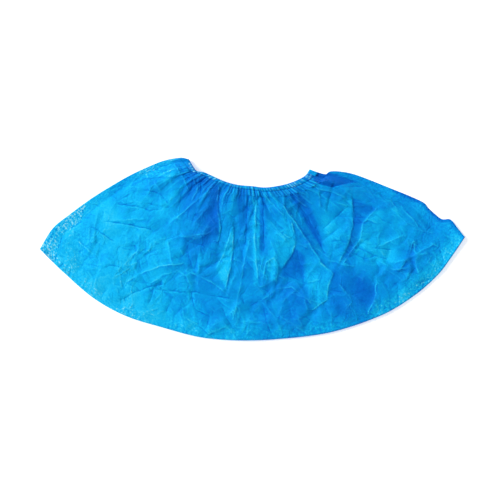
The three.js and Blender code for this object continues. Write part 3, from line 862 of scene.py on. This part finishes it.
upper = thicken(upper_leaf(), CLOTH)
print("upper leaf:", len(upper.data.polygons), "cells")

# %% [markdown]
# ## The lower leaf
#
# The lower leaf is the other half of the same sheet. It starts where the upper one ends, just round the
# sole fold, lies flat on the ground, and ends in a hem like the other's, turned in on its upper side.

# %% The lower leaf
def lower_leaf():
    """Like the upper leaf, on the lower leaf's level, but the hem's rows lie higher than the level. The
    faces are turned over, so that they point down to the ground."""
    hem_v, hem_rise = hem_rows(4, 7)
    leaf_v = down_the_leaf(0.7)
    leaf_v = leaf_v[leaf_v > UNDER_SOLE[-1] + 0.001]
    v_rows = np.concatenate([hem_v, leaf_v, UNDER_SOLE[-1:]])
    rise = np.concatenate([hem_rise, np.zeros(len(leaf_v) + 1)])
    u, v = np.meshgrid(COLUMNS, v_rows)
    points = np.dstack([plan(u, v), lower_level(u, v) + rise[:, None]])
    tone = 0.1 + 0.2 * hills(plan(u, v), 41, 40 * MM) - 0.3 * (1 - ease(0.004, 0.022, v))
    looks = {"tone": tone, "grain": np.full(u.shape, 0.3), "gathered": gathered(u, v)}
    return grid_mesh("cover_lower_leaf", points, cloth_uv(u, points), looks, flip=True)


lower = thicken(lower_leaf(), CLOTH)
print("lower leaf:", len(lower.data.polygons), "cells")

# %% [markdown]
# ## The elastic
#
# A strand of flat elastic lies hidden in each hem, from weld to weld. A curve with a bevel could make
# it, but it has to stay in the hem's roll everywhere, so it is a ribbon that follows the leaf's level.

# %% The elastic strands
STRAND_V = 1 - 4.4 * MM / FAN_LENGTH  # its middle line
STRAND_HALF_WIDTH = 1.7 * MM
STRAND_HALF_THICKNESS = 0.35 * MM
STRAND_ENDS = (0.075, 0.925)  # u, inside the welds


def strand(name, level, sign):
    """A closed ribbon: an oval section, carried along v = STRAND_V in the middle of the hem's roll. The
    oval's height is a power of a sine, so its sides are flatter than an ellipse's."""
    u, angle = np.meshgrid(np.linspace(*STRAND_ENDS, 241), np.linspace(0, 2 * np.pi, 25), indexing="ij")
    v = STRAND_V + np.cos(angle) * STRAND_HALF_WIDTH / FAN_LENGTH
    oval = np.sign(np.sin(angle)) * np.abs(np.sin(angle)) ** 0.6
    z = level(u, v) - sign * HEM_RADIUS + STRAND_HALF_THICKNESS * oval
    uv = np.dstack([u * SOLE_WIDTH, angle * STRAND_HALF_WIDTH / np.pi])
    return grid_mesh(name, np.dstack([plan(u, v), z]), uv, {})


strands = [strand("elastic_strand_upper", upper_level, 1), strand("elastic_strand_lower", lower_level, -1)]
print("each strand:", len(strands[0].data.polygons), "cells")

# %% [markdown]
# ## Cloth and elastic as materials
#
# Spunbond is made of fine fibres, bonded by rows of small hot points. Close up, the points are shiny
# dimples in a matt felt. Both pieces of cloth share these patterns, so they are node groups, which put
# out masks only, and the shader stays in the material.

# %% Node helpers
def srgb(*values):
    """A colour as a screen shows it, 0 to 255, as the linear colour that a shader wants."""
    share = np.array(values) / 255
    return (*np.where(share <= 0.04045, share / 12.92, ((share + 0.055) / 1.055) ** 2.4), 1)


def feed(tree, made, **inputs):
    """Links a node's inputs to the outputs of others, or sets them to values. An input is named, or
    numbered as _0, _1 and so on."""
    for key, value in inputs.items():
        target = made.inputs[int(key[1:])] if key[1:].isdigit() else made.inputs[key.replace("_", " ")]
        if isinstance(value, bpy.types.Node):
            value = value.outputs[0]
        if isinstance(value, bpy.types.NodeSocket):
            tree.links.new(value, target)
        else:
            target.default_value = value
    return made


def node(tree, kind, settings=(), **inputs):
    """A new node with its settings and its inputs."""
    made = tree.nodes.new(kind)
    for key, value in dict(settings).items():
        setattr(made, key, value)
    return feed(tree, made, **inputs)


# %% Sums, steps and noise
def maths(tree, operation, a, b=0.0, c=0.0):
    """A maths node."""
    return node(tree, "ShaderNodeMath", {"operation": operation}, _0=a, _1=b, _2=c)


def times(tree, a, b):
    """a times b."""
    return maths(tree, "MULTIPLY", a, b)


def scaled(tree, value, factor, more=0.0):
    """The value times the factor, and more."""
    return maths(tree, "MULTIPLY_ADD", value, factor, more)


def total(tree, *values):
    """The sum of the values."""
    made = values[0]
    for value in values[1:]:
        made = maths(tree, "ADD", made, value)
    return made


def step_up(tree, value, start, end, low=0.0, high=1.0):
    """A smooth step: low up to start, high from end on."""
    smooth = {"interpolation_type": "SMOOTHSTEP"}
    ends = {"From_Min": start, "From_Max": end, "To_Min": low, "To_Max": high}
    return node(tree, "ShaderNodeMapRange", smooth, Value=value, **ends)


def ramp_up(tree, value, start, end):
    """A straight ramp: 0 up to start, 1 from end on."""
    return node(tree, "ShaderNodeMapRange", Value=value, From_Min=start, From_Max=end)


def noise(tree, place, scale, detail, roughness=0.5):
    """Cloudy noise, about 0.5 on average."""
    settings = {"Scale": scale, "Detail": detail, "Roughness": roughness}
    return node(tree, "ShaderNodeTexNoise", Vector=place, **settings).outputs[0]


# %% Groups and materials
def attribute(tree, name):
    """An attribute that each point of the mesh carries."""
    return node(tree, "ShaderNodeAttribute", {"attribute_name": name}).outputs["Fac"]


def group(name, inputs, outputs):
    """An empty node group. It reads its place as a vector and the other inputs as numbers, and puts out
    numbers. Returns the group, the values that it is given, and the node for its results."""
    tree = bpy.data.node_groups.new(name, "ShaderNodeTree")
    for title in inputs:
        kind = "NodeSocketVector" if title == "Place" else "NodeSocketFloat"
        tree.interface.new_socket(title, in_out="INPUT", socket_type=kind)
    for title in outputs:
        tree.interface.new_socket(title, in_out="OUTPUT", socket_type="NodeSocketFloat")
    return tree, tree.nodes.new("NodeGroupInput").outputs, tree.nodes.new("NodeGroupOutput")


def use(tree, shared, **inputs):
    """A node that runs a group."""
    return node(tree, "ShaderNodeGroup", {"node_tree": shared}, **inputs)


def new_material(name):
    """A material, its node tree and the principled shader in it."""
    material = bpy.data.materials.new(name)
    material.use_nodes = True
    return material, material.node_tree, material.node_tree.nodes["Principled BSDF"]


# %% The bonded points, the fibres and the crinkle
BOND_PITCH = 1.7 * MM
# Of the two kinds of crinkle, raised and sunk: where its pattern starts, and how it is stretched
CRINKLE_KINDS = (((0.13, 0.21, 0), (1.0, 0.55, 1)), ((0.71, 0.47, 0), (0.8, 0.75, 1)))


def bonded_points():
    """A mask of round points in rows, every second row moved by half a step: two waves multiplied."""
    tree, given, result = group("bonded points", ["Place", "Pitch"], ["Mask"])
    parts = node(tree, "ShaderNodeSeparateXYZ", _0=given["Place"])
    turns = maths(tree, "DIVIDE", 2 * np.pi, given["Pitch"])
    waves = [maths(tree, "COSINE", times(tree, part, turns)) for part in parts.outputs[:2]]
    feed(tree, result, Mask=step_up(tree, times(tree, *waves), 0.35, 0.75))
    return tree


def fibres():
    """A felt of fibres: fine noise, stretched one way and then the other, added up."""
    tree, given, result = group("fibres", ["Place"], ["Height"])
    layers = []
    for turn, stretch in ((0.4, (2600, 500, 1)), (-0.7, (600, 2400, 1))):
        place = node(tree, "ShaderNodeMapping", Vector=given["Place"], Rotation=(0, 0, turn), Scale=stretch)
        layers.append(noise(tree, place, 1.0, 2.0))
    feed(tree, result, Height=total(tree, *layers))
    return tree


def crinkle():
    """Fine crease lines: crests above 0 and grooves below 0. Each kind is the edges of a bent Voronoi
    pattern, drawn thin, and there only where a slow noise is high."""
    tree, given, result = group("crinkle", ["Place", "Size"], ["Height"])
    drift = node(tree, "ShaderNodeTexNoise", Vector=given["Place"], Scale=55.0, Detail=2.0).outputs["Color"]
    centred = node(tree, "ShaderNodeVectorMath", {"operation": "SUBTRACT"}, _0=drift, _1=(0.5, 0.5, 0.5))
    bend = {"operation": "MULTIPLY_ADD"}
    moved = node(tree, "ShaderNodeVectorMath", bend, _0=centred, _1=(0.02, 0.02, 0), _2=given["Place"])
    density = maths(tree, "DIVIDE", 1.0, given["Size"])
    edges = {"feature": "DISTANCE_TO_EDGE"}
    kinds = []
    for start, stretch in CRINKLE_KINDS:
        where = node(tree, "ShaderNodeMapping", Vector=moved, Location=start, Scale=stretch)
        cells = node(tree, "ShaderNodeTexVoronoi", edges, Vector=where, Scale=density).outputs["Distance"]
        line = step_up(tree, cells, 0.0, 0.075, 1.0, 0.0)
        patch = ramp_up(tree, noise(tree, where, 42.0, 1.0), 0.44, 0.62)
        kinds.append(times(tree, line, patch))
    feed(tree, result, Height=maths(tree, "SUBTRACT", *kinds))
    return tree


BONDS = bonded_points()
FIBRES = fibres()
CRINKLE = crinkle()
print("shared groups:", [shared.name for shared in (BONDS, FIBRES, CRINKLE)])

# %% [markdown]
# ## The line of a crease
#
# The crest and the offset that each point carries become a line here. Real crease lines are broken,
# paler on a raised crest, where the light catches them, and have a thin shadow on the side away from the
# light. Both are painted into the colour, as painted highlight and painted shadow.

# %% The line of a crease
BENDS = 4.0  # how far noise moves the line, from side to side, in millimetres
# Middle and half width, in millimetres of offset, of the line and of the shadow beside it
LINE_BELL = (0.0, 0.65)
SHADOW_BELL = (1.4, 0.9)
SHADOW_DEPTH = 0.7
WHITE_SHARE = 0.05


def bell(tree, offset, middle, half_width):
    """1 at the middle, and almost 0 from twice the half width on."""
    apart = maths(tree, "SUBTRACT", offset, middle)
    squared = times(tree, apart, apart)
    return maths(tree, "EXPONENT", times(tree, squared, -1 / half_width**2))


def crease_line():
    """Draws the crease that the crest and offset attributes describe. Line is a thin bell, above 0 on a
    raised crease. Tint is a painted highlight on a raised crest with a painted shadow beside it,
    on the shaded side, and painted shade in a sunk one with a painted highlight beside it. White is a
    paler painted highlight on raised crests. Noise bends the line a little, and makes it strong in some
    places and faint in others."""
    tree, given, result = group("crease line", ["Place", "Crest", "Offset"], ["Line", "Tint", "White"])
    place = given["Place"]
    offset = total(tree, given["Offset"], scaled(tree, noise(tree, place, 95.0, 2.0), BENDS, -BENDS / 2))
    patch = ramp_up(tree, noise(tree, place, 75.0, 4.0, 0.75), 0.36, 0.58)
    crest = times(tree, given["Crest"], patch)
    thin = bell(tree, offset, *LINE_BELL)
    shadow = bell(tree, offset, *SHADOW_BELL)
    line = times(tree, crest, thin)
    # painted highlight on a raised crest with a painted shadow beside it; painted shade in a sunk one with a
    # painted highlight beside it
    tint = times(tree, crest, scaled(tree, shadow, -SHADOW_DEPTH, thin))
    # painted highlight: raised crests made paler still
    white = times(tree, maths(tree, "MAXIMUM", line, 0.0), WHITE_SHARE)
    feed(tree, result, Line=line, Tint=tint, White=white)
    return tree


CREASE_LINE = crease_line()
print("shared group:", CREASE_LINE.name)

# %% [markdown]
# ## Blue spunbond
#
# A translucent shader would need the layers under it, so the colour is a ramp over their number: pale
# cyan for one, deep blue for four. Clouds of denser fibres shift the tone a little, crinkle and crease
# lines paint highlight on crests and shade in grooves and beside creases into it, and the felt's
# speckles come last. The same patterns make the bump, so that what looks like a fold also catches the light.

# %% The cloth's material
LAYER_COLOURS = [  # share of the way from one layer to four, and the colour there
    (0.0, (138, 218, 244)),
    (0.15, (42, 196, 243)),
    (0.3, (12, 184, 241)),
    (0.5, (3, 155, 229)),
    (0.75, (1, 128, 218)),
    (1.0, (0, 103, 203)),
]
# How each pattern moves the tone: times a factor, and more, so that noise is about 0 on average
TONE_SHIFTS = [
    ("cloud", 0.6, -0.3),
    # crinkle and shade: painted highlight on raised crests, painted shade in grooves and beside creases
    ("crinkle", -0.18, 0.0),
    ("shade", -1.05, 0.0),
    ("felt", 0.45, -0.45),
    ("bonds", 0.1, 0.0),
]
HEIGHTS = [("felt", 0.6), ("bonds", -0.4), ("crinkle", 1.0), ("line", 1.8)]  # of each pattern, as bump
SPECKLE_TONE = (4.2, 0.6)  # strength of the speckles: times the grain, and more
SPECKLE_HEIGHT = (1.6, 0.5)
GRAIN_TONE = 0.08
PALEST_LINE = -0.68  # tone
HIGHLIGHT_AND_THREAD_COLOUR = (125, 228, 255)  # painted highlight on raised crests, and thread
CRINKLE_SIZES = (17 * MM, 8 * MM, 7.5 * MM)  # wide, narrow, and the drawn-out pleats below the hem


def crinkle_lines(tree, place):
    """Wide and narrow crinkle all over, and pleats drawn out down the leaf where it is gathered."""
    drawn = node(tree, "ShaderNodeMapping", Vector=place, Scale=(1.0, 0.13, 1))
    patterns = zip((place, place, drawn), CRINKLE_SIZES)
    wide, narrow, pleats = (use(tree, CRINKLE, Place=where, Size=size) for where, size in patterns)
    pressed = times(tree, pleats, attribute(tree, "gathered"))
    return total(tree, scaled(tree, narrow, 0.7, wide), times(tree, pressed, 1.2))


def layer_colour(tree, tone):
    """The colour of the layers at a tone."""
    ramp = node(tree, "ShaderNodeValToRGB", Fac=scaled(tree, tone, 0.5, 0.5))
    stops = ramp.color_ramp.elements
    while len(stops) < len(LAYER_COLOURS):
        stops.new(0.5)
    for stop, (where, colour) in zip(stops, LAYER_COLOURS):
        stop.position = where
        stop.color = srgb(*colour)
    return ramp


def cloth_patterns(tree):
    """All that the cloth's colour and bump are made of, by name."""
    place = node(tree, "ShaderNodeUVMap", {"uv_map": "cloth"})
    crease = {"Crest": attribute(tree, "crest"), "Offset": attribute(tree, "offset")}
    edge = use(tree, CREASE_LINE, Place=place, **crease).outputs
    return {
        "grain": attribute(tree, "grain"),
        "bonds": use(tree, BONDS, Place=place, Pitch=BOND_PITCH),
        "felt": use(tree, FIBRES, Place=place),
        "crinkle": crinkle_lines(tree, place),
        "cloud": noise(tree, place, 150.0, 5.0, 0.7),
        "speckle": noise(tree, place, 460.0, 3.0, 0.6),
        "line": edge["Line"],
        "shade": edge["Tint"],
        # painted highlight on raised crests, and the thread of the stitches
        "highlight_and_thread": maths(tree, "MAXIMUM", edge["White"], attribute(tree, "stitch")),
    }


def cloth_colour(tree, parts):
    """The tone, moved by the patterns, as a colour. The speckles come after the limit on pale lines, and
    the painted highlight on raised crests and the thread lie on top of all."""
    tone = attribute(tree, "tone")
    for name, factor, more in TONE_SHIFTS:
        tone = total(tree, tone, scaled(tree, parts[name], factor, more))
    tone = maths(tree, "MAXIMUM", tone, PALEST_LINE)
    centred = maths(tree, "SUBTRACT", parts["speckle"], 0.5)
    speckles = times(tree, centred, scaled(tree, parts["grain"], *SPECKLE_TONE))
    colour = layer_colour(tree, total(tree, tone, speckles, times(tree, parts["grain"], GRAIN_TONE)))
    mixing = {"data_type": "RGBA"}
    return node(tree, "ShaderNodeMix", mixing, _0=parts["highlight_and_thread"], _6=colour, _7=srgb(*HIGHLIGHT_AND_THREAD_COLOUR)).outputs[2]


def cloth_bump(tree, parts):
    """The patterns' heights, added up, as a bump as deep as the cloth is thick."""
    height = times(tree, parts["speckle"], scaled(tree, parts["grain"], *SPECKLE_HEIGHT))
    for name, factor in HEIGHTS:
        height = scaled(tree, parts[name], factor, height)
    return node(tree, "ShaderNodeBump", Strength=0.7, Distance=CLOTH, Height=height)


def nonwoven(name):
    """Blue spunbond cloth, matt but for the bonded points."""
    material, tree, shader = new_material(name)
    parts = cloth_patterns(tree)
    feed(tree, shader, Base_Color=cloth_colour(tree, parts), Normal=cloth_bump(tree, parts))
    feed(tree, shader, Roughness=scaled(tree, parts["bonds"], -0.2, 0.62), Specular_IOR_Level=0.04)
    return material


cloth_material = nonwoven("blue spunbond")
for leaf in (upper, lower):
    leaf.data.materials.append(cloth_material)
print(cloth_material.name, "has", len(cloth_material.node_tree.nodes), "nodes")

# %% [markdown]
# ## White elastic
#
# The strand is rubber, wound with white yarn. A wave along it gives the fine ribs that the yarn makes,
# as colour and as bump, and geometry for them would be wasted inside the hem.

# %% The elastic's material
def white_elastic(name):
    """White covered elastic, with fine ribs across the strand and a slight gloss."""
    material, tree, shader = new_material(name)
    place = node(tree, "ShaderNodeUVMap", {"uv_map": "cloth"})
    across = {"bands_direction": "X"}
    ribs = node(tree, "ShaderNodeTexWave", across, Vector=place, Scale=320.0, Distortion=0.6).outputs["Fac"]
    ramp = node(tree, "ShaderNodeValToRGB", Fac=ribs)
    ramp.color_ramp.elements[0].color = srgb(196, 210, 222)
    ramp.color_ramp.elements[1].color = srgb(240, 244, 248)
    bump = node(tree, "ShaderNodeBump", Strength=0.4, Distance=0.2 * MM, Height=ribs)
    feed(tree, shader, Base_Color=ramp, Normal=bump, Roughness=0.55)
    return material


elastic_material = white_elastic("white elastic")
for piece in strands:
    piece.data.materials.append(elastic_material)
print(elastic_material.name, "has", len(elastic_material.node_tree.nodes), "nodes")

# %% [markdown]
# ## The studio
#
# The cover lies on white paper under a big soft light from the upper left. A soft sun gives the folds
# their shape, and a white sky fills the shadows. The paper glows a little, as on a light table, so that
# it stays white round the cover, as in an over-exposed photo.

# %% Ground, light and camera
VIEW_WIDTH = 470.6 * MM  # what the photo takes in, from side to side
CAMERA_PLACE = (-2.2 * MM, -0.8 * MM, 1.6)  # the cover lies a little off the middle of the photo
SUN_STRENGTH = 2.55
SUN_ANGLE = np.radians(25)  # how wide it looks, and so how soft its shadows are
SUN_TURN = (np.radians(-19), np.radians(-47), 0)
SKY_STRENGTH = 0.54
PAPER_GLOW = 0.4


def ground():
    """A large flat plane just under the lower leaf."""
    bpy.ops.mesh.primitive_plane_add(size=6, location=(0, 0, 0))
    paper = bpy.context.object
    paper.name = "paper"
    material, tree, shader = new_material("white paper")
    feed(tree, shader, Base_Color=(0.93, 0.93, 0.94, 1), Roughness=0.9, Specular_IOR_Level=0.1)
    feed(tree, shader, Emission_Color=(1, 1, 1, 1), Emission_Strength=PAPER_GLOW)
    paper.data.materials.append(material)
    return paper


def soft_sun():
    """A wide sun from the upper left."""
    lamp = bpy.data.lights.new("soft key", "SUN")
    lamp.energy = SUN_STRENGTH
    lamp.angle = SUN_ANGLE
    put_in_scene("soft key", lamp).rotation_euler = SUN_TURN


def white_sky():
    """Even white light from all round."""
    world = bpy.data.worlds.new("white studio")
    world.use_nodes = True
    feed(world.node_tree, world.node_tree.nodes["Background"], Color=(1, 1, 1, 1), Strength=SKY_STRENGTH)
    return world


def camera():
    """Straight above the cover, with a long lens."""
    lens = bpy.data.cameras.new("from above")
    lens.sensor_width = 36
    lens.lens = lens.sensor_width * CAMERA_PLACE[2] / VIEW_WIDTH
    made = put_in_scene("from above", lens)
    made.location = CAMERA_PLACE
    return made


paper = ground()
soft_sun()
bpy.context.scene.world = white_sky()
bpy.context.scene.view_settings.view_transform = "Standard"
bpy.context.scene.camera = camera()
print("lens:", round(bpy.context.scene.camera.data.lens), "mm")

# %% [markdown]
# ## Fasten everything to the frame
#
# Cloth and elastic have no joint, so every piece rides on the root. Each replaces one solid of the
# imported model, which is hidden.

# %% Ride and replace
for piece, replaced, slot in (
    (upper, "upper_leaf", "nonwoven"),
    (lower, "lower_leaf", "nonwoven"),
    (strands[0], "elastic_upper", "elastic"),
    (strands[1], "elastic_lower", "elastic"),
):
    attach(piece, "root")
    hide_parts(replaced)
paper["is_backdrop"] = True
